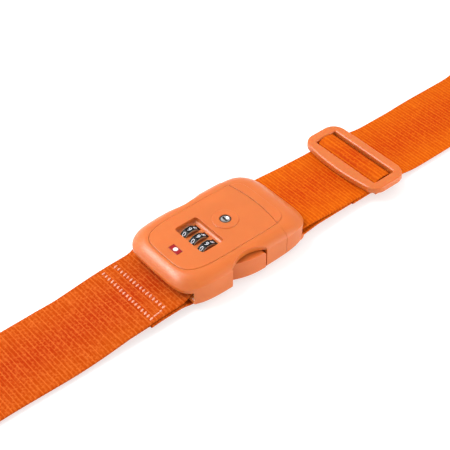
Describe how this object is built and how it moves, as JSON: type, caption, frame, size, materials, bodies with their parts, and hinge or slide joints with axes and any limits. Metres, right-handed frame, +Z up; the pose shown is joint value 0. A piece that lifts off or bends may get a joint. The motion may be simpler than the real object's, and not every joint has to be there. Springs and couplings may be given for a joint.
{
  "type": "luggage strap with combination lock buckle",
  "caption": "Luggage strap of flat webbing with a side-release buckle locked by numbered dials or a key, a slider that sets its length, and its spare length rolled up.",
  "frame": {"origin": "on the plane that the strap lies on, under the middle of the buckle", "axes": "+X along the strap, from the stored roll towards the slider and the fold; +Y across the strap; +Z up, out of the buckle's face with the dials"},
  "size_m": [0.4961, 0.0636, 0.0473],
  "materials": {
    "shell_plastic": "satin moulded nylon or acetal",
    "button_plastic": "satin moulded acetal",
    "webbing": "woven, crosswise ribs",
    "dial_black": "smooth moulded",
    "steel": "bright",
    "chrome": "polished",
    "zinc": "bare die-cast",
    "brass": "turned",
    "badge_red": "smooth inlay",
    "tie_black": "hook-and-loop tape"
  },
  "bodies": {
    "female": {"female_body": "shell_plastic", "face_plate": "shell_plastic", "badge": "badge_red", "bottom_cover": "shell_plastic", "case_screw_1": "steel", "case_screw_2": "steel", "case_screw_3": "steel", "case_screw_4": "steel", "dial_spindle": "steel", "click_spring": "steel", "key_housing": "zinc", "blocker_spring": "steel", "reset_spring": "steel", "webbing_left": "webbing", "webbing_roll": "webbing", "roll_tie": "tie_black", "webbing_return": "webbing"},
    "male": {"male_body": "shell_plastic", "webbing_male": "webbing", "webbing_bulge": "webbing", "webbing_right": "webbing", "webbing_fold": "webbing"},
    "release_front": {"prong_front": "button_plastic"},
    "release_back": {"prong_back": "button_plastic"},
    "dial_a": {"dial_1": "dial_black", "code_sleeve_1": "brass"},
    "dial_b": {"dial_2": "dial_black", "code_sleeve_2": "brass"},
    "dial_c": {"dial_3": "dial_black", "code_sleeve_3": "brass"},
    "key_barrel": {"key_plug": "chrome", "key_cam": "steel"},
    "blocker": {"blocker_plate": "zinc", "code_comb": "steel"},
    "code_button": {"reset_button": "dial_black"},
    "slider": {"tri_glide": "shell_plastic", "webbing_end_loop": "webbing"}
  },
  "joints": [
    {"name": "buckle_slide", "type": "slide", "parent": "female", "child": "male", "axis": [1, 0, 0], "range_m": [0, 0.055], "deforming": ["prong_front", "prong_back"]},
    {"name": "release_front_press", "type": "hinge", "parent": "male", "child": "release_front", "pos_m": [0.0275, -0.018, 0.0099], "axis": [0, 0, -1], "range_deg": [0, 8], "stiffness_Nm_per_rad": 0.6},
    {"name": "release_back_press", "type": "hinge", "parent": "male", "child": "release_back", "pos_m": [0.0275, 0.018, 0.0099], "axis": [0, 0, 1], "range_deg": [0, 8], "stiffness_Nm_per_rad": 0.6},
    {"name": "dial_a_turn", "type": "hinge", "parent": "female", "child": "dial_a", "pos_m": [-0.015, 0.0076, 0.0145], "axis": [0, 1, 0], "continuous": true, "deforming": ["code_comb", "click_spring"]},
    {"name": "dial_b_turn", "type": "hinge", "parent": "female", "child": "dial_b", "pos_m": [-0.015, 0, 0.0145], "axis": [0, 1, 0], "continuous": true, "deforming": ["code_comb", "click_spring"]},
    {"name": "dial_c_turn", "type": "hinge", "parent": "female", "child": "dial_c", "pos_m": [-0.015, -0.0076, 0.0145], "axis": [0, 1, 0], "continuous": true, "deforming": ["code_comb", "click_spring"]},
    {"name": "key_turn", "type": "hinge", "parent": "female", "child": "key_barrel", "pos_m": [0.0049, 0, 0.0199], "axis": [0, 0, 1], "range_deg": [0, 90]},
    {"name": "blocker_slide", "type": "slide", "parent": "female", "child": "blocker", "axis": [0, 0, 1], "range_m": [-0.0026, 0], "stiffness_N_per_m": 50, "springref_m": 0.004, "deforming": ["blocker_spring"]},
    {"name": "code_button_press", "type": "slide", "parent": "female", "child": "code_button", "axis": [0, 0, 1], "range_m": [0, 0.0012], "stiffness_N_per_m": 60, "springref_m": -0.003, "deforming": ["reset_spring"]},
    {"name": "slider_travel", "type": "slide", "parent": "male", "child": "slider", "axis": [1, 0, 0], "range_m": [-0.015, 0.045], "deforming": ["webbing_bulge", "webbing_male", "webbing_right"]}
  ]
}
